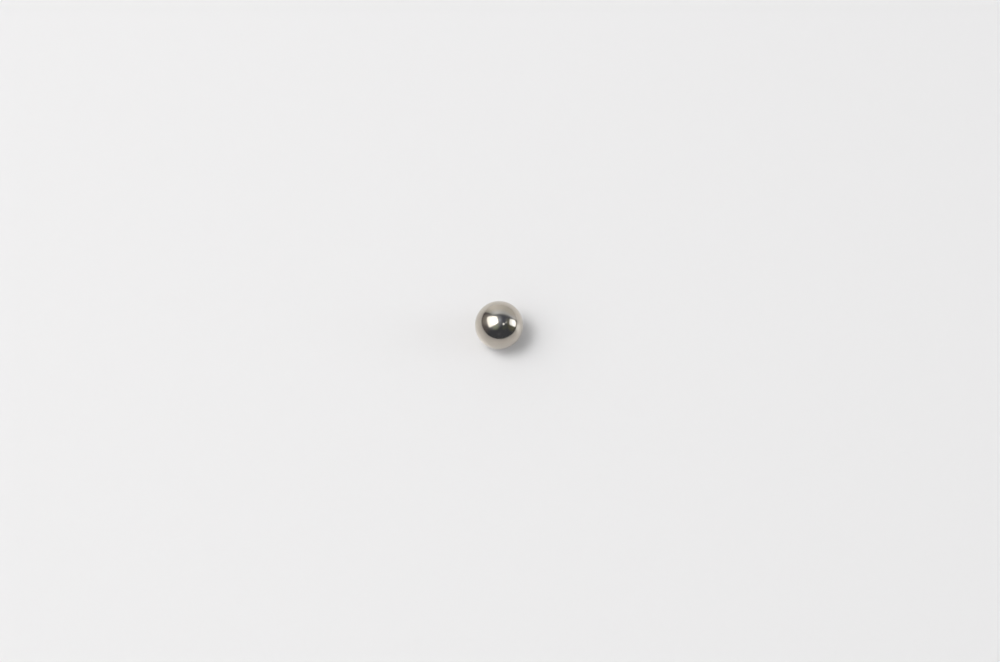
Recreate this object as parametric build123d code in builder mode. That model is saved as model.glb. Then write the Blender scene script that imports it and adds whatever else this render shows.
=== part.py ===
from build123d import *
import os

# A loose steel ball. Millimetres, +Z up, with the origin at the centre of the ball.

# Driving dimension: the diameter measured across the centre
ball_diameter = 10.0

ball_radius = ball_diameter / 2

# Half a turn of arc, from the bottom pole up to the top pole
arc_start_angle = -90
arc_sweep = 180

# Steel ball: half a disc, closed along the vertical axis and turned once round it
with BuildPart() as steel_ball:
    with BuildSketch(Plane.XZ):
        with BuildLine():
            surface_arc = CenterArc((0, 0), ball_radius, arc_start_angle, arc_sweep)
            Line(surface_arc @ 1, surface_arc @ 0)
        make_face()
    revolve(axis=Axis.Z)

steel_ball.part.label = "steel_ball"

os.makedirs("parts", exist_ok=True)
export_step(steel_ball.part, "parts/steel_ball.step")
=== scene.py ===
import math

import bpy
from bpy.props import FloatProperty, FloatVectorProperty, IntProperty, PointerProperty
from mathutils import Matrix, Vector


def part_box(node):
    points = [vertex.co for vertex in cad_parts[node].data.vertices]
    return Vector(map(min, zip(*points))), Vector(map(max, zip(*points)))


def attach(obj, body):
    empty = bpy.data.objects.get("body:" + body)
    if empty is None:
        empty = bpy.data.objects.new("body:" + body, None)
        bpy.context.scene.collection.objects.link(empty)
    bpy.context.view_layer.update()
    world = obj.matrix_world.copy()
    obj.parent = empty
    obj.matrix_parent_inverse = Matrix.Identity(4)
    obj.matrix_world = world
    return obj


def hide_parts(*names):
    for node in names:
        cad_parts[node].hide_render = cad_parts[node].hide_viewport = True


bl_info = {
    "name": "Steel Ball",
    "version": (1, 0, 0),
    "blender": (4, 5, 0),
    "location": "View3D > Sidebar > Steel Ball",
    "description": "Makes a loose polished steel ball on a pale studio floor",
    "category": "Add Mesh",
}

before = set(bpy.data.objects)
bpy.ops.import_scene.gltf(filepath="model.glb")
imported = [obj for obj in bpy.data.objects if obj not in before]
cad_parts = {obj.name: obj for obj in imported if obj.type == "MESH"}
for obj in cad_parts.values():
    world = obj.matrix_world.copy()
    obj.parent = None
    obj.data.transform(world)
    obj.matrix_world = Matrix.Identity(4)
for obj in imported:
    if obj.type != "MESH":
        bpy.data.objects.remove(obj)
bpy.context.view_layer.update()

BALL_NODE = "steel_ball"
BALL_BODY = "root"

ball_low, ball_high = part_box(BALL_NODE)
BALL_CENTRE = Vector((0.0, 0.0, 0.0))
BALL_DIAMETER = ball_high.z - ball_low.z
FLOOR_HEIGHT = ball_low.z

MILLIMETRES_PER_METRE = 1000.0

# The photograph's frame, and where the middle of the ball stands in it, in pixels
PHOTO_WIDTH = 1000
PHOTO_HEIGHT = 662
BALL_PIXEL_X = 499.05
BALL_PIXEL_Y = 325.12

# The camera's lens and sensor, in millimetres
LENS_LENGTH = 60.0
SENSOR_WIDTH = 23.6


class SteelBallSizes(bpy.types.PropertyGroup):
    diameter: FloatProperty(
        name="Diameter",
        description="Diameter of the ball, measured across its centre",
        default=BALL_DIAMETER,
        min=0.001,
        max=0.1,
        unit="LENGTH",
        subtype="DISTANCE",
    )
    halvings: IntProperty(
        name="Halvings",
        description="How often every edge of the rough form is halved on its way to a round surface",
        default=4,
        min=2,
        max=5,
    )
    smoothing: IntProperty(
        name="Smoothing",
        description="Levels of subdivision in the last pass over the surface",
        default=2,
        min=1,
        max=3,
    )


class SteelFinish(bpy.types.PropertyGroup):
    light_tone: FloatVectorProperty(
        name="Light Tone",
        description="Colour of the steel where it is brightest",
        default=(0.53, 0.483, 0.42),
        min=0.0,
        max=1.0,
        size=3,
        subtype="COLOR",
    )
    dark_tone: FloatVectorProperty(
        name="Dark Tone",
        description="Colour of the steel in its slightly duller patches",
        default=(0.50, 0.457, 0.40),
        min=0.0,
        max=1.0,
        size=3,
        subtype="COLOR",
    )
    roughness: FloatProperty(
        name="Roughness",
        description="Roughness of the clean, polished surface",
        default=0.09,
        min=0.0,
        max=1.0,
        subtype="FACTOR",
    )
    haze: FloatProperty(
        name="Haze",
        description="Roughness that faint handling marks add in patches",
        default=0.05,
        min=0.0,
        max=1.0,
        subtype="FACTOR",
    )
    scratch_depth: FloatProperty(
        name="Scratch Depth",
        description="Depth of the deepest hairline scratches",
        default=0.0000018,
        min=0.0,
        max=0.0001,
        precision=6,
        unit="LENGTH",
        subtype="DISTANCE",
    )


class StudioSettings(bpy.types.PropertyGroup):
    camera_elevation: FloatProperty(
        name="Camera Elevation",
        description="How steeply the camera looks down on the ball",
        default=math.radians(65.7),
        min=0.0,
        max=math.radians(90.0),
        unit="ROTATION",
        subtype="ANGLE",
    )
    camera_roll: FloatProperty(
        name="Camera Roll",
        description="Turn of the camera about its line of sight",
        default=math.radians(5.3),
        min=math.radians(-45.0),
        max=math.radians(45.0),
        unit="ROTATION",
        subtype="ANGLE",
    )
    camera_distance: FloatProperty(
        name="Camera Distance",
        description="Distance from the camera to the ball, along the line of sight",
        default=0.5252,
        min=0.1,
        max=5.0,
        unit="LENGTH",
        subtype="DISTANCE",
    )
    floor_colour: FloatVectorProperty(
        name="Floor Colour",
        description="Colour of the pale sheet that the ball lies on",
        default=(0.84, 0.832, 0.832),
        min=0.0,
        max=1.0,
        size=3,
        subtype="COLOR",
    )
    # Painted light: in the metal the sheet shows a lighter copy of the floor colour
    sheet_in_the_metal_painted_lighter: FloatVectorProperty(
        name="Sheet in the Metal",
        description="Colour of the pale sheet under its gloss, as it shows in the ball",
        default=(0.89, 0.882, 0.882),
        min=0.0,
        max=1.0,
        size=3,
        subtype="COLOR",
    )
    background_colour: FloatVectorProperty(
        name="Background Colour",
        description="Colour of the plain background",
        default=(0.84, 0.832, 0.832),
        min=0.0,
        max=1.0,
        size=3,
        subtype="COLOR",
    )
    floor_roughness: FloatProperty(
        name="Floor Roughness",
        description="Roughness of the pale sheet, as it shows in the ball",
        default=0.38,
        min=0.0,
        max=1.0,
        subtype="FACTOR",
    )
    floor_gloss: FloatProperty(
        name="Floor Gloss",
        description="Share of the thin gloss over the pale sheet, as it shows in the ball",
        default=0.4,
        min=0.0,
        max=1.0,
        subtype="FACTOR",
    )
    large_lamp: FloatProperty(
        name="Large Lamp",
        description="Brightness of the large lamp's face away from its bright middle",
        default=2.05,
        min=0.0,
        max=50.0,
    )
    bright_middle: FloatProperty(
        name="Bright Middle",
        description="Brightness that the middle of the large lamp has over the rest of its face",
        default=10.0,
        min=0.0,
        max=50.0,
    )
    small_lamp: FloatProperty(
        name="Small Lamp",
        description="Brightness of the small lamp's face away from its bright middle",
        default=1.5,
        min=0.0,
        max=50.0,
    )
    small_bright_middle: FloatProperty(
        name="Small Bright Middle",
        description="Brightness that the middle of the small lamp has over the rest of its face",
        default=1.4,
        min=0.0,
        max=50.0,
    )
    dim_light: FloatProperty(
        name="Dim Light",
        description="Brightness of the light that comes in low from all round and fills the shadows",
        default=0.95,
        min=0.0,
        max=1.0,
        subtype="FACTOR",
    )
    dim_overhead: FloatProperty(
        name="Dim Overhead",
        description="Brightness of the same light from straight above",
        default=0.15,
        min=0.0,
        max=1.0,
        subtype="FACTOR",
    )
    dim_lean: FloatProperty(
        name="Dim Lean",
        description="How much brighter the same light is from the left than from the front",
        default=0.17,
        min=0.0,
        max=1.0,
        subtype="FACTOR",
    )


def deselect_everything():
    if bpy.context.object and bpy.context.object.mode != "OBJECT":
        bpy.ops.object.mode_set(mode="OBJECT")
    bpy.ops.object.select_all(action="DESELECT")


def bearing(azimuth, elevation):
    """The direction at an azimuth from -Y towards +X and an elevation above the floor, both in degrees."""
    around = math.radians(azimuth)
    above = math.radians(elevation)
    level = math.cos(above)
    return Vector((math.sin(around) * level, -math.cos(around) * level, math.sin(above)))


# Node trees

def add_node(tree, kind, label, **settings):
    node = tree.nodes.new(kind)
    node.label = label
    for name, value in settings.items():
        setattr(node, name, value)
    return node


def feed(tree, socket, value):
    """Links a socket to another node's output, or sets it to a plain value."""
    if isinstance(value, bpy.types.NodeSocket):
        tree.links.new(value, socket)
    else:
        socket.default_value = value


def calculate(tree, label, operation, first, second=0.0):
    node = add_node(tree, "ShaderNodeMath", label, operation=operation)
    feed(tree, node.inputs[0], first)
    feed(tree, node.inputs[1], second)
    return node.outputs["Value"]


def combine(tree, label, operation, first, second=(0.0, 0.0, 0.0)):
    node = add_node(tree, "ShaderNodeVectorMath", label, operation=operation)
    feed(tree, node.inputs[0], first)
    feed(tree, node.inputs[1], second)
    output = "Value" if operation in {"DOT_PRODUCT", "LENGTH"} else "Vector"
    return node.outputs[output]


def remap(tree, label, value, start, end, low=0.0, high=1.0, ease="SMOOTHSTEP"):
    node = add_node(tree, "ShaderNodeMapRange", label, interpolation_type=ease)
    feed(tree, node.inputs["Value"], value)
    feed(tree, node.inputs["From Min"], start)
    feed(tree, node.inputs["From Max"], end)
    feed(tree, node.inputs["To Min"], low)
    feed(tree, node.inputs["To Max"], high)
    return node.outputs["Result"]


def mix_colour(tree, label, share, first, second):
    node = add_node(tree, "ShaderNodeMix", label, data_type="RGBA")
    colours = [socket for socket in node.inputs if socket.type == "RGBA"]
    feed(tree, node.inputs["Factor"], share)
    feed(tree, colours[0], first)
    feed(tree, colours[1], second)
    return next(socket for socket in node.outputs if socket.type == "RGBA")


def noise(tree, label, place, scale, detail, distortion):
    node = add_node(tree, "ShaderNodeTexNoise", label, noise_dimensions="3D")
    feed(tree, node.inputs["Vector"], place)
    node.inputs["Scale"].default_value = scale
    node.inputs["Detail"].default_value = detail
    node.inputs["Distortion"].default_value = distortion
    return node.outputs["Fac"]


def cells(tree, label, place, scale):
    node = add_node(tree, "ShaderNodeTexVoronoi", label, voronoi_dimensions="3D", feature="F1")
    feed(tree, node.inputs["Vector"], place)
    node.inputs["Scale"].default_value = scale
    return node.outputs


def with_alpha(colour):
    return (*colour, 1.0)


# Steel

# Hairlines of three sizes, the long ones few and deep, the short ones many and shallow: the size of the
# cells that hold a line each and the line's width, in millimetres, the share of cells that have one, and
# the line's depth as a share of the deepest
SCRATCHES = {
    "long": (3.1, 0.03, 0.35, 1.0),
    "middle": (1.3, 0.022, 0.45, 0.7),
    "short": (0.55, 0.014, 0.6, 0.4),
}
# How far from the middle of its cell a hairline starts to fade and where it ends, in cells
TAPER_START = 0.2
TAPER_END = 0.5
SCRATCH_ROUGHNESS = 0.16

# Pits: the size of their cells and their radius, in millimetres, the share of cells that have one, and the
# flat share of the radius
PIT_CELL = 0.9
PIT_RADIUS = 0.05
PIT_SHARE = 0.7
PIT_FLAT = 0.4
PIT_DARKENING = 0.35
PIT_TONE = (0.1, 0.09, 0.08)

# Soft patterns in the steel: scale for each millimetre, detail and distortion of the noise, and the levels
# of noise at which the pattern starts and is full
PATCHES = (0.16, 4.0, 0.6, 0.38, 0.64)
HANDLING_MARKS = (0.45, 6.0, 1.2, 0.5, 0.72)
POLISHING_GRAIN = (9.0, 2.0, 0.0, 0.3, 0.7)
GRAIN_ROUGHNESS = 0.015


def soft_pattern(tree, name, place, pattern, strength=1.0):
    """Noise over the surface, as 0 where the pattern is bare and its full strength where it is thickest."""
    scale, detail, distortion, start, full = pattern
    level = noise(tree, name, place, scale, detail, distortion)
    return remap(tree, f"{name} strength", level, start, full, 0.0, strength)


def scratch_layer(tree, place, outward, name, cell_size, width, share):
    """One straight hairline in some of the cells, each in a direction of its own along the surface."""
    found = cells(tree, f"{name} cells", place, 1.0 / cell_size)
    offset = combine(tree, f"{name} offset from cell", "SUBTRACT", place, found["Position"])
    throw = combine(tree, f"{name} throw", "SUBTRACT", found["Color"], (0.5, 0.5, 0.5))
    across = combine(tree, f"{name} across", "CROSS_PRODUCT", outward, throw)
    across = combine(tree, f"{name} across, unit length", "NORMALIZE", across)
    distance = combine(tree, f"{name} distance", "DOT_PRODUCT", offset, across)
    distance = calculate(tree, f"{name} distance, unsigned", "ABSOLUTE", distance)
    line = remap(tree, f"{name} line", distance, 0.0, width, 1.0, 0.0)
    taper = remap(tree, f"{name} taper", found["Distance"], TAPER_START, TAPER_END, 1.0, 0.0)
    lottery = add_node(tree, "ShaderNodeTexWhiteNoise", f"{name} lottery", noise_dimensions="3D")
    feed(tree, lottery.inputs["Vector"], found["Position"])
    drawn = lottery.outputs["Value"]
    strength = remap(tree, f"{name} strength", drawn, 1.0 - share, 1.0, ease="LINEAR")
    tapered = calculate(tree, f"{name} tapered", "MULTIPLY", line, taper)
    return calculate(tree, f"{name} scratches", "MULTIPLY", tapered, strength)


def pit_layer(tree, place):
    """Small round pits, only where a cell's centre happens to lie at the surface."""
    found = cells(tree, "pit cells", place, 1.0 / PIT_CELL)
    reach = PIT_RADIUS / PIT_CELL
    spot = remap(tree, "pit", found["Distance"], reach * PIT_FLAT, reach, 1.0, 0.0)
    lottery = add_node(tree, "ShaderNodeTexWhiteNoise", "pit lottery", noise_dimensions="3D")
    feed(tree, lottery.inputs["Vector"], found["Position"])
    drawn = lottery.outputs["Value"]
    strength = remap(tree, "pit strength", drawn, 1.0 - PIT_SHARE, 1.0, ease="LINEAR")
    return calculate(tree, "pits", "MULTIPLY", spot, strength)


def polished_steel(finish):
    """A warm grey mirror, with hairline scratches, a few pits and faint handling marks."""
    material = bpy.data.materials.new("polished_steel")
    material.use_nodes = True
    tree = material.node_tree
    tree.nodes.clear()
    output = add_node(tree, "ShaderNodeOutputMaterial", "surface")
    shader = add_node(tree, "ShaderNodeBsdfPrincipled", "steel")
    shader.inputs["Metallic"].default_value = 1.0
    tree.links.new(shader.outputs["BSDF"], output.inputs["Surface"])

    coordinates = add_node(tree, "ShaderNodeTexCoord", "object coordinates")
    millimetres = add_node(tree, "ShaderNodeMapping", "in millimetres")
    millimetres.inputs["Scale"].default_value = (MILLIMETRES_PER_METRE,) * 3
    tree.links.new(coordinates.outputs["Object"], millimetres.inputs["Vector"])
    place = millimetres.outputs["Vector"]
    outward = combine(tree, "outward", "NORMALIZE", place)

    pits = pit_layer(tree, place)
    marks = pits
    for name, (cell_size, width, share, depth) in SCRATCHES.items():
        lines = scratch_layer(tree, place, outward, name, cell_size, width, share)
        lines = calculate(tree, f"{name} scratches, at their depth", "MULTIPLY", lines, depth)
        marks = calculate(tree, f"with the {name} scratches", "MAXIMUM", marks, lines)

    # Tone: broad faint patches, darker inside a pit
    patches = soft_pattern(tree, "broad patches", place, PATCHES)
    tone = mix_colour(tree, "tone", patches, with_alpha(finish.light_tone), with_alpha(finish.dark_tone))
    pit_depth = calculate(tree, "pit darkening", "MULTIPLY", pits, PIT_DARKENING)
    tone = mix_colour(tree, "darker pits", pit_depth, tone, with_alpha(PIT_TONE))
    tree.links.new(tone, shader.inputs["Base Color"])

    # Roughness: the polish, with hazy marks where it was handled and along the scratches
    haze = soft_pattern(tree, "handling marks", place, HANDLING_MARKS, finish.haze)
    grain = soft_pattern(tree, "polishing grain", place, POLISHING_GRAIN, GRAIN_ROUGHNESS)
    roughness = calculate(tree, "polish and haze", "ADD", haze, finish.roughness)
    roughness = calculate(tree, "with grain", "ADD", roughness, grain)
    scored = calculate(tree, "scored", "MULTIPLY", marks, SCRATCH_ROUGHNESS)
    roughness = calculate(tree, "with scratches", "ADD", roughness, scored)
    tree.links.new(roughness, shader.inputs["Roughness"])

    height = calculate(tree, "cut below the surface", "MULTIPLY", marks, -1.0)
    bump = add_node(tree, "ShaderNodeBump", "scratch relief")
    bump.inputs["Strength"].default_value = 1.0
    bump.inputs["Distance"].default_value = finish.scratch_depth
    tree.links.new(height, bump.inputs["Height"])
    tree.links.new(bump.outputs["Normal"], shader.inputs["Normal"])
    return material


def model_ball(sizes):
    """A cube whose edges are halved and blown out round again and again, then cast onto the true radius."""
    radius = sizes.diameter / 2
    # The largest cube that fits in the ball
    cube_edge = sizes.diameter / math.sqrt(3)
    deselect_everything()
    bpy.ops.mesh.primitive_cube_add(size=cube_edge, calc_uvs=False, location=BALL_CENTRE)
    ball = bpy.context.object
    ball.name = "polished_ball"
    bpy.ops.object.mode_set(mode="EDIT")
    for _ in range(sizes.halvings):
        bpy.ops.mesh.select_all(action="SELECT")
        bpy.ops.mesh.subdivide(number_cuts=1)
        bpy.ops.transform.tosphere(value=1.0)
    bpy.ops.mesh.normals_make_consistent(inside=False)
    bpy.ops.object.mode_set(mode="OBJECT")

    smoother = ball.modifiers.new("smoothing", "SUBSURF")
    smoother.levels = sizes.smoothing
    smoother.render_levels = sizes.smoothing
    bpy.ops.object.modifier_apply(modifier=smoother.name)
    rounder = ball.modifiers.new("true radius", "CAST")
    rounder.cast_type = "SPHERE"
    rounder.factor = 1.0
    rounder.use_radius_as_size = False
    rounder.size = radius
    bpy.ops.object.modifier_apply(modifier=rounder.name)
    bpy.ops.object.shade_smooth()
    return ball


class STEELBALL_OT_make_ball(bpy.types.Operator):
    """Make the polished steel ball in place of the plain solid"""

    bl_idname = "steelball.make_ball"
    bl_label = "Polished Ball"
    bl_options = {"REGISTER", "UNDO"}

    def execute(self, context):
        ball = model_ball(context.scene.steel_ball_sizes)
        ball.data.materials.append(polished_steel(context.scene.steel_ball_finish))
        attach(ball, BALL_BODY)
        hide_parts(BALL_NODE)
        return {"FINISHED"}


# Studio

# Each lamp's face, as it is seen from the ball: the bearing of its middle, its width and height for each
# metre of distance, the bearing that its back turns to, and its roll. Angles are in degrees, lengths in
# metres. A squareness of 2 gives an oval face and more gives squarer corners, and the soft edge is a share
# of the half width. The large and the small lamp have a bright middle, with a bearing of its own and a size
# for each metre of distance, and the studio settings hold how bright they are.
LARGE_LAMP = {
    "azimuth": -88.0,
    "elevation": 63.5,
    "distance": 1.4,
    "width": 0.87,
    "height": 1.18,
    "back_azimuth": -71.6,
    "back_elevation": 31.0,
    "roll": -2.6,
    "squareness": 7.0,
    "soft_edge": 0.2,
    "bright_azimuth": -81.0,
    "bright_elevation": 66.5,
    "bright_size": 0.142,
    "colour": (1.0, 1.0, 1.0),
}
SMALL_LAMP = {
    "azimuth": 97.2,
    "elevation": 22.8,
    "distance": 2.0,
    "width": 0.58,
    "height": 0.77,
    "back_azimuth": 70.0,
    "back_elevation": 31.0,
    "roll": 19.0,
    "squareness": 4.5,
    "soft_edge": 0.3,
    "bright_azimuth": 97.0,
    "bright_elevation": 17.0,
    "bright_size": 0.16,
    "colour": (0.95, 1.0, 1.05),
}
SPOT_LAMP = {
    "azimuth": 53.0,
    "elevation": 63.5,
    "distance": 2.0,
    "width": 0.22,
    "height": 0.19,
    "back_azimuth": 53.0,
    "back_elevation": 63.5,
    "roll": 0.0,
    "squareness": 2.0,
    "soft_edge": 0.7,
    "brightness": 2.3,
    "colour": (0.97, 1.0, 1.03),
}
STRIP_LAMP = {
    "azimuth": 79.0,
    "elevation": 57.5,
    "distance": 2.0,
    "width": 0.34,
    "height": 0.12,
    "back_azimuth": 79.0,
    "back_elevation": 57.5,
    "roll": -20.0,
    "squareness": 2.0,
    "soft_edge": 0.9,
    "brightness": 0.9,
    "colour": (0.97, 1.0, 1.03),
}

# The unlit room is a sphere around the ball that glows dimly and only the metal shows: a painted reflection
ROOM_RADIUS = 5.0
ROOM_DARK = (0.07, 0.077, 0.092)
# Painted light that the lamps spill on its walls and ceiling, added to its glow: bearing of its middle, how
# far from there it starts to fade and where it ends, all in degrees, and its colour
ROOM_PAINTED_SPILLS = {
    "about the large lamp": (-80.0, 62.0, 18.0, 48.0, (0.27, 0.29, 0.31)),
    "beside the large lamp": (-28.0, 54.0, 4.0, 20.0, (0.10, 0.13, 0.05)),
    "over the large lamp": (-90.0, 88.0, 2.0, 12.0, (0.11, 0.14, 0.22)),
    "under the large lamp": (-98.0, 24.0, 4.0, 28.0, (0.16, 0.16, 0.14)),
    "low on the left": (-95.0, 8.0, 10.0, 60.0, (0.09, 0.07, 0.06)),
    "about the small lamp": (88.0, 24.0, 10.0, 34.0, (0.09, 0.085, 0.03)),
    "over the small lamp": (95.0, 50.0, 3.0, 18.0, (0.09, 0.09, 0.07)),
    "under the small lamp": (98.0, 4.0, 1.0, 10.0, (0.18, 0.17, 0.14)),
    "between the lamps": (43.0, 49.0, 4.0, 16.0, (0.03, 0.035, 0.012)),
    "on the ceiling": (140.0, 78.0, 10.0, 45.0, (0.05, 0.055, 0.08)),
    "low in front": (4.0, 22.0, 2.0, 12.0, (0.025, 0.025, 0.03)),
}

# The pale sheet: how far the floor reaches, where it starts to fade into the background and where it is
# gone, and the gloss over it. In the metal it is a little darker just in front of the ball than behind:
# painted shade in front and painted light behind.
FLOOR_REACH = 6.0
FADE_START = 0.15
FADE_END = 0.5
GLOSS_ROUGHNESS = 0.05
GLOSS_IOR = 1.8
PAINTED_SHADE_REACH = 0.03
PAINTED_SHADE_IN_FRONT = 0.955
PAINTED_LIGHT_BEHIND = 1.04

# The pale sheet rises behind the ball, as a glowing surface that only the metal shows: a painted
# reflection, with its light and shade painted into its glow. Its tones, painted shade and painted light,
# are given with the stretch, along x, over which each one comes in. Higher up it gets cooler, and its
# slanting top edge fades into the room.
BACKDROP_LEFT = -0.43
BACKDROP_RIGHT = 0.866
BACKDROP_PLACE = 0.35
BACKDROP_HEIGHT = 0.85
BACKDROP_PALE = (0.89, 0.88, 0.86)
BACKDROP_PAINTED_TONES = {
    "dimmer in the middle": (-0.16, 0.2, (0.655, 0.65, 0.635)),
    "near the small lamp": (0.35, 0.7, (0.72, 0.73, 0.765)),
    "left end": (-0.15, -0.5, (0.43, 0.44, 0.42)),
}
COOLER_START = 0.15
COOLER_END = 0.45
COOL_TONE = (0.97, 1.03, 1.13)
TOP_SLANT = 0.25
TOP_START = 0.44
TOP_END = 0.76
TOP_TONE = (0.16, 0.17, 0.20)

# A dark table lies beyond the sheet's other edges, as dark glowing strips that only the metal shows: a
# painted reflection
TABLE_REACH = 3.0
TABLE_LIFT = 0.0005
# Lowest and highest x, then lowest and highest y, of each strip of the table
TABLE_STRIPS = {
    "front": (-TABLE_REACH, TABLE_REACH, -TABLE_REACH, -0.11),
    "left": (-TABLE_REACH, -0.25, -0.11, 0.2),
    "right": (0.125, TABLE_REACH, -0.11, -0.02),
}


def hide_from_all_but_gloss(piece):
    piece.visible_camera = False
    piece.visible_diffuse = False
    piece.visible_transmission = False
    piece.visible_volume_scatter = False
    piece.visible_shadow = False


def glow_material(name, lights_the_floor=False):
    """A glowing material for a stage piece that the metal shows, with its glow and its surface socket."""
    material = bpy.data.materials.new(name)
    material.use_nodes = True
    if not lights_the_floor:
        material.cycles.emission_sampling = "NONE"
    tree = material.node_tree
    tree.nodes.clear()
    output = add_node(tree, "ShaderNodeOutputMaterial", "surface")
    glow = add_node(tree, "ShaderNodeEmission", "glow")
    surface = output.inputs["Surface"]
    tree.links.new(glow.outputs["Emission"], surface)
    return material, glow, surface


def object_axes(tree):
    coordinates = add_node(tree, "ShaderNodeTexCoord", "object coordinates")
    axes = add_node(tree, "ShaderNodeSeparateXYZ", "axes")
    tree.links.new(coordinates.outputs["Object"], axes.inputs["Vector"])
    return coordinates.outputs["Object"], axes.outputs


def add_plane(name, material, low, high, height):
    """A level rectangle between two corners, at a height."""
    deselect_everything()
    middle = ((low[0] + high[0]) / 2, (low[1] + high[1]) / 2, height)
    bpy.ops.mesh.primitive_plane_add(size=1.0, location=middle)
    plane = bpy.context.object
    plane.name = name
    plane.scale = (high[0] - low[0], high[1] - low[1], 1.0)
    bpy.ops.object.transform_apply(location=True, rotation=True, scale=True)
    plane.data.materials.append(material)
    return plane


def seen_share(tree):
    """1 for a ray from the camera, off gloss or through glass, and 0 for one that only gathers light."""
    light_path = add_node(tree, "ShaderNodeLightPath", "light path")
    seen = calculate(
        tree, "camera or gloss", "MAXIMUM",
        light_path.outputs["Is Camera Ray"], light_path.outputs["Is Glossy Ray"],
    )
    return calculate(tree, "or through glass", "MAXIMUM", seen, light_path.outputs["Is Transmission Ray"])


def floor_material(studio):
    """A pale satin sheet that fades into the plain background far from the ball."""
    material = bpy.data.materials.new("pale_sheet")
    material.use_nodes = True
    material.cycles.emission_sampling = "NONE"
    tree = material.node_tree
    tree.nodes.clear()
    output = add_node(tree, "ShaderNodeOutputMaterial", "surface")
    matt = add_node(tree, "ShaderNodeBsdfDiffuse", "matt sheet")
    matt.inputs["Color"].default_value = with_alpha(studio.floor_colour)
    satin = add_node(tree, "ShaderNodeBsdfPrincipled", "satin sheet")
    satin.inputs["Roughness"].default_value = studio.floor_roughness
    satin.inputs["Coat Weight"].default_value = studio.floor_gloss
    satin.inputs["Coat Roughness"].default_value = GLOSS_ROUGHNESS
    satin.inputs["Coat IOR"].default_value = GLOSS_IOR
    background = add_node(tree, "ShaderNodeEmission", "background")
    background.inputs["Color"].default_value = with_alpha(studio.background_colour)

    light_path = add_node(tree, "ShaderNodeLightPath", "satin in the metal")
    sheet = add_node(tree, "ShaderNodeMixShader", "matt or satin")
    tree.links.new(light_path.outputs["Is Glossy Ray"], sheet.inputs["Fac"])
    tree.links.new(matt.outputs["BSDF"], sheet.inputs[1])
    tree.links.new(satin.outputs["BSDF"], sheet.inputs[2])

    # Painted shade in front of the ball and painted light behind it, on the sheet in the metal
    place, axes = object_axes(tree)
    painted_front_to_back = remap(
        tree, "painted shade, lighter towards the back", axes["Y"],
        -PAINTED_SHADE_REACH, PAINTED_SHADE_REACH, PAINTED_SHADE_IN_FRONT, PAINTED_LIGHT_BEHIND,
    )
    # Painted light: the satin sheet takes the lighter colour of the sheet in the metal
    painted_sheet_tone = add_node(tree, "ShaderNodeVectorMath", "sheet tone with painted shade", operation="SCALE")
    painted_sheet_tone.inputs[0].default_value = studio.sheet_in_the_metal_painted_lighter
    tree.links.new(painted_front_to_back, painted_sheet_tone.inputs["Scale"])
    tree.links.new(painted_sheet_tone.outputs["Vector"], satin.inputs["Base Color"])
    away = combine(tree, "distance from the ball", "LENGTH", place)
    fade = remap(tree, "fade", away, FADE_START, FADE_END)
    fade = calculate(tree, "fade where it is seen", "MULTIPLY", fade, seen_share(tree))
    mix = add_node(tree, "ShaderNodeMixShader", "sheet or background")
    tree.links.new(fade, mix.inputs["Fac"])
    tree.links.new(sheet.outputs["Shader"], mix.inputs[1])
    tree.links.new(background.outputs["Emission"], mix.inputs[2])
    tree.links.new(mix.outputs["Shader"], output.inputs["Surface"])
    return material


def make_floor(studio):
    corner = (FLOOR_REACH, FLOOR_REACH)
    far_corner = (-FLOOR_REACH, -FLOOR_REACH)
    add_plane("studio_floor", floor_material(studio), far_corner, corner, FLOOR_HEIGHT)


def make_table():
    """The dark table beyond the edges of the pale sheet, painted as a dark glow that only the metal shows.
    """
    material, glow, _ = glow_material("dark_table_painted_reflection")
    glow.inputs["Color"].default_value = with_alpha(ROOM_DARK)
    for side, (x_low, x_high, y_low, y_high) in TABLE_STRIPS.items():
        strip = add_plane(
            f"studio_table_{side}", material, (x_low, y_low), (x_high, y_high), FLOOR_HEIGHT + TABLE_LIFT
        )
        hide_from_all_but_gloss(strip)


def make_backdrop():
    """The sheet rising behind the ball, with painted light and shade in a glow that only the metal shows.
    """
    material, glow, _ = glow_material("backdrop_painted_reflection")
    tree = material.node_tree
    _, axes = object_axes(tree)
    pale = with_alpha(BACKDROP_PALE)
    # Painted shade, dimmer in the middle and at the left end, and painted light near the small lamp
    for name, (start, end, colour) in BACKDROP_PAINTED_TONES.items():
        share = remap(tree, f"{name}: share", axes["X"], start, end)
        pale = mix_colour(tree, f"{name}: tone", share, pale, with_alpha(colour))
    raised = remap(tree, "cooler higher up", axes["Z"], COOLER_START, COOLER_END)
    cool = combine(tree, "cool tone", "MULTIPLY", pale, COOL_TONE)
    pale = mix_colour(tree, "cooled", raised, pale, cool)
    slant = calculate(tree, "slant of the top edge", "MULTIPLY", axes["X"], TOP_SLANT)
    height = calculate(tree, "height under the top edge", "ADD", axes["Z"], slant)
    top = remap(tree, "top edge", height, TOP_START, TOP_END)
    pale = mix_colour(tree, "into the room's tone", top, pale, with_alpha(TOP_TONE))
    tree.links.new(pale, glow.inputs["Color"])
    backdrop = add_plane(
        "studio_backdrop",
        material,
        (BACKDROP_LEFT, -BACKDROP_HEIGHT / 2),
        (BACKDROP_RIGHT, BACKDROP_HEIGHT / 2),
        0.0,
    )
    backdrop.rotation_euler.x = math.radians(90.0)
    backdrop.location = (0.0, BACKDROP_PLACE, FLOOR_HEIGHT + BACKDROP_HEIGHT / 2)
    bpy.ops.object.transform_apply(location=True, rotation=True, scale=True)
    hide_from_all_but_gloss(backdrop)


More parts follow.
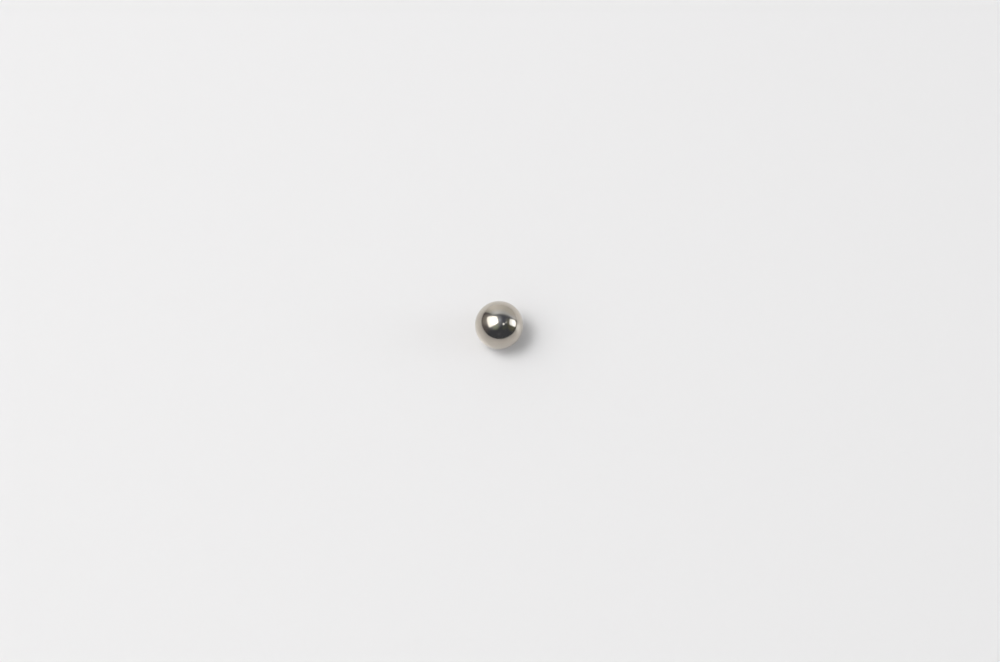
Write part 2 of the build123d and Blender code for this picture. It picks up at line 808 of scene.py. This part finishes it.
def make_room():
    """The unlit room, with the lamps' spilt light painted into a glow that only the metal shows."""
    material, glow, _ = glow_material("unlit_room_painted_reflection")
    tree = material.node_tree
    place, _ = object_axes(tree)
    outward = combine(tree, "direction from the ball", "NORMALIZE", place)
    tone = ROOM_DARK
    for name, (azimuth, elevation, start, end, colour) in ROOM_PAINTED_SPILLS.items():
        nearness = combine(tree, f"{name}: nearness", "DOT_PRODUCT", outward, bearing(azimuth, elevation))
        share = remap(
            tree, f"{name}: share", nearness, math.cos(math.radians(end)), math.cos(math.radians(start))
        )
        light = mix_colour(tree, f"{name}: light", share, (0.0, 0.0, 0.0, 1.0), with_alpha(colour))
        tone = combine(tree, f"{name}: added", "ADD", tone, light)
    tree.links.new(tone, glow.inputs["Color"])
    deselect_everything()
    bpy.ops.mesh.primitive_uv_sphere_add(segments=64, ring_count=32, radius=ROOM_RADIUS)
    room = bpy.context.object
    room.name = "studio_room"
    room.data.materials.append(material)
    hide_from_all_but_gloss(room)


def turn_of(lamp):
    """The turn that faces a lamp's level face, which lights downwards, away from its back's bearing."""
    back = bearing(lamp["back_azimuth"], lamp["back_elevation"])
    side = Vector((0.0, 0.0, 1.0)).cross(back).normalized()
    top = back.cross(side)
    roll = Matrix.Rotation(math.radians(lamp["roll"]), 4, "Z")
    return Matrix((side, top, back)).transposed().to_4x4() @ roll


def bright_middle(tree, lamp, extra):
    """Strength that falls off in a bell about the bright middle of a lamp's face."""
    middle = bearing(lamp["azimuth"], lamp["elevation"]) * lamp["distance"]
    back = bearing(lamp["back_azimuth"], lamp["back_elevation"])
    toward = bearing(lamp["bright_azimuth"], lamp["bright_elevation"])
    bright = toward * (middle.dot(back) / toward.dot(back))
    size = lamp["bright_size"] * lamp["distance"]
    place, _ = object_axes(tree)
    offset = combine(tree, "from the bright middle", "SUBTRACT", place, bright)
    square = combine(tree, "squared", "DOT_PRODUCT", offset, offset)
    fall = calculate(tree, "scaled", "MULTIPLY", square, -0.5 / size**2)
    fall = calculate(tree, "fall-off", "EXPONENT", fall)
    return calculate(tree, "bright middle", "MULTIPLY", fall, extra)


def soft_edge(tree, lamp):
    """1 over the middle of a lamp's face, which falls off to 0 at its outline."""
    coordinates = add_node(tree, "ShaderNodeTexCoord", "face coordinates")
    offset = combine(tree, "from the middle", "SUBTRACT", coordinates.outputs["UV"], (0.5, 0.5, 0.0))
    offset = combine(tree, "unsigned", "ABSOLUTE", offset)
    axes = add_node(tree, "ShaderNodeSeparateXYZ", "across and along")
    tree.links.new(offset, axes.inputs["Vector"])
    across = calculate(tree, "across, raised", "POWER", axes.outputs["X"], lamp["squareness"])
    along = calculate(tree, "along, raised", "POWER", axes.outputs["Y"], lamp["squareness"])
    both = calculate(tree, "across and along, raised", "ADD", across, along)
    reach = calculate(tree, "reach", "POWER", both, 1.0 / lamp["squareness"])
    return remap(tree, "soft edge", reach, 0.5, 0.5 * (1.0 - lamp["soft_edge"]))


def make_lamp(name, lamp, brightness, extra=0.0):
    """A face of light that lights one way, with a brighter middle where that is asked for."""
    width = lamp["width"] * lamp["distance"]
    height = lamp["height"] * lamp["distance"]
    material, glow, surface = glow_material(f"{name}_light", lights_the_floor=True)
    tree = material.node_tree
    glow.inputs["Color"].default_value = with_alpha(lamp["colour"])
    glow.inputs["Strength"].default_value = brightness
    if extra:
        strength = bright_middle(tree, lamp, extra)
        strength = calculate(tree, "over the even face", "ADD", strength, brightness)
        tree.links.new(strength, glow.inputs["Strength"])

    # Past the soft edge, and from behind, the face is clear
    facing = add_node(tree, "ShaderNodeNewGeometry", "facing")
    edge = soft_edge(tree, lamp)
    share = calculate(tree, "lit side only", "MULTIPLY", edge, facing.outputs["Backfacing"])
    clear = add_node(tree, "ShaderNodeBsdfTransparent", "clear")
    face_mix = add_node(tree, "ShaderNodeMixShader", "clear or lit")
    tree.links.new(share, face_mix.inputs["Fac"])
    tree.links.new(clear.outputs["BSDF"], face_mix.inputs[1])
    tree.links.new(glow.outputs["Emission"], face_mix.inputs[2])
    tree.links.new(face_mix.outputs["Shader"], surface)

    face = add_plane(name, material, (-width / 2, -height / 2), (width / 2, height / 2), 0.0)
    middle = bearing(lamp["azimuth"], lamp["elevation"]) * lamp["distance"]
    face.matrix_world = Matrix.Translation(middle) @ turn_of(lamp)
    bpy.ops.object.transform_apply(location=True, rotation=True, scale=True)
    face.visible_camera = False


def make_world(studio):
    """A plain pale background for the camera and for gloss, and a dim room for everything else."""
    world = bpy.data.worlds.new("pale_studio")
    bpy.context.scene.world = world
    world.use_nodes = True
    tree = world.node_tree
    tree.nodes.clear()
    output = add_node(tree, "ShaderNodeOutputWorld", "world")
    dim = add_node(tree, "ShaderNodeBackground", "dim room")
    dim.inputs["Color"].default_value = (1.0, 1.0, 1.0, 1.0)
    heading = add_node(tree, "ShaderNodeTexCoord", "heading")
    slope = (-studio.dim_lean, 0.0, studio.dim_overhead - studio.dim_light)
    dimming = combine(
        tree, "dimmer overhead and on the right", "DOT_PRODUCT", heading.outputs["Generated"], slope
    )
    strength = calculate(tree, "dim strength", "ADD", dimming, studio.dim_light)
    tree.links.new(strength, dim.inputs["Strength"])
    pale = add_node(tree, "ShaderNodeBackground", "pale background")
    pale.inputs["Color"].default_value = with_alpha(studio.background_colour)
    mix = add_node(tree, "ShaderNodeMixShader", "dim or pale")
    tree.links.new(seen_share(tree), mix.inputs["Fac"])
    tree.links.new(dim.outputs["Background"], mix.inputs[1])
    tree.links.new(pale.outputs["Background"], mix.inputs[2])
    tree.links.new(mix.outputs["Shader"], output.inputs["Surface"])


def make_camera(studio):
    """The photograph's camera, which looks down on the ball and is rolled a little."""
    data = bpy.data.cameras.new("camera")
    data.lens = LENS_LENGTH
    data.sensor_width = SENSOR_WIDTH
    camera = bpy.data.objects.new("camera", data)
    bpy.context.scene.collection.objects.link(camera)
    bpy.context.scene.camera = camera

    elevation = studio.camera_elevation
    roll = studio.camera_roll
    forward = Vector((0.0, math.cos(elevation), -math.sin(elevation)))
    level_up = Vector((0.0, math.sin(elevation), math.cos(elevation)))
    level_right = Vector((1.0, 0.0, 0.0))
    up = level_up * math.cos(roll) - level_right * math.sin(roll)
    right = level_right * math.cos(roll) + level_up * math.sin(roll)

    pixels_per_unit = PHOTO_WIDTH * data.lens / data.sensor_width
    aside = (BALL_PIXEL_X - PHOTO_WIDTH / 2) / pixels_per_unit
    above = (PHOTO_HEIGHT / 2 - BALL_PIXEL_Y) / pixels_per_unit
    to_ball = (forward + right * aside + up * above) * studio.camera_distance
    camera.matrix_world = Matrix.Translation(BALL_CENTRE - to_ball) @ (
        Matrix((right, up, -forward)).transposed().to_4x4()
    )


class STEELBALL_OT_make_studio(bpy.types.Operator):
    """Make the pale floor, the soft lamps and the camera"""

    bl_idname = "steelball.make_studio"
    bl_label = "Studio"
    bl_options = {"REGISTER", "UNDO"}

    def execute(self, context):
        studio = context.scene.steel_ball_studio
        make_floor(studio)
        make_table()
        make_backdrop()
        make_room()
        make_lamp("large_lamp", LARGE_LAMP, studio.large_lamp, studio.bright_middle)
        make_lamp("small_lamp", SMALL_LAMP, studio.small_lamp, studio.small_bright_middle)
        make_lamp("spot_lamp", SPOT_LAMP, SPOT_LAMP["brightness"])
        make_lamp("strip_lamp", STRIP_LAMP, STRIP_LAMP["brightness"])
        make_world(studio)
        make_camera(studio)
        context.scene.view_settings.view_transform = "Standard"
        return {"FINISHED"}


class STEELBALL_PT_panel(bpy.types.Panel):
    """Sizes, finish and studio of the steel ball"""

    bl_idname = "STEELBALL_PT_panel"
    bl_label = "Steel Ball"
    bl_space_type = "VIEW_3D"
    bl_region_type = "UI"
    bl_category = "Steel Ball"

    def draw(self, context):
        layout = self.layout
        scene = context.scene
        for title, group, operator in (
            ("Ball", scene.steel_ball_sizes, None),
            ("Steel", scene.steel_ball_finish, STEELBALL_OT_make_ball.bl_idname),
            ("Studio", scene.steel_ball_studio, STEELBALL_OT_make_studio.bl_idname),
        ):
            box = layout.box()
            box.label(text=title)
            for name in group.__annotations__:
                box.prop(group, name)
            if operator:
                box.operator(operator)


CLASSES = (
    SteelBallSizes,
    SteelFinish,
    StudioSettings,
    STEELBALL_OT_make_ball,
    STEELBALL_OT_make_studio,
    STEELBALL_PT_panel,
)


def register():
    for cls in CLASSES:
        bpy.utils.register_class(cls)
    bpy.types.Scene.steel_ball_sizes = PointerProperty(type=SteelBallSizes)
    bpy.types.Scene.steel_ball_finish = PointerProperty(type=SteelFinish)
    bpy.types.Scene.steel_ball_studio = PointerProperty(type=StudioSettings)


def unregister():
    del bpy.types.Scene.steel_ball_studio
    del bpy.types.Scene.steel_ball_finish
    del bpy.types.Scene.steel_ball_sizes
    for cls in reversed(CLASSES):
        bpy.utils.unregister_class(cls)


def main():
    register()
    bpy.ops.steelball.make_ball()
    bpy.ops.steelball.make_studio()


if __name__ == "__main__":
    main()
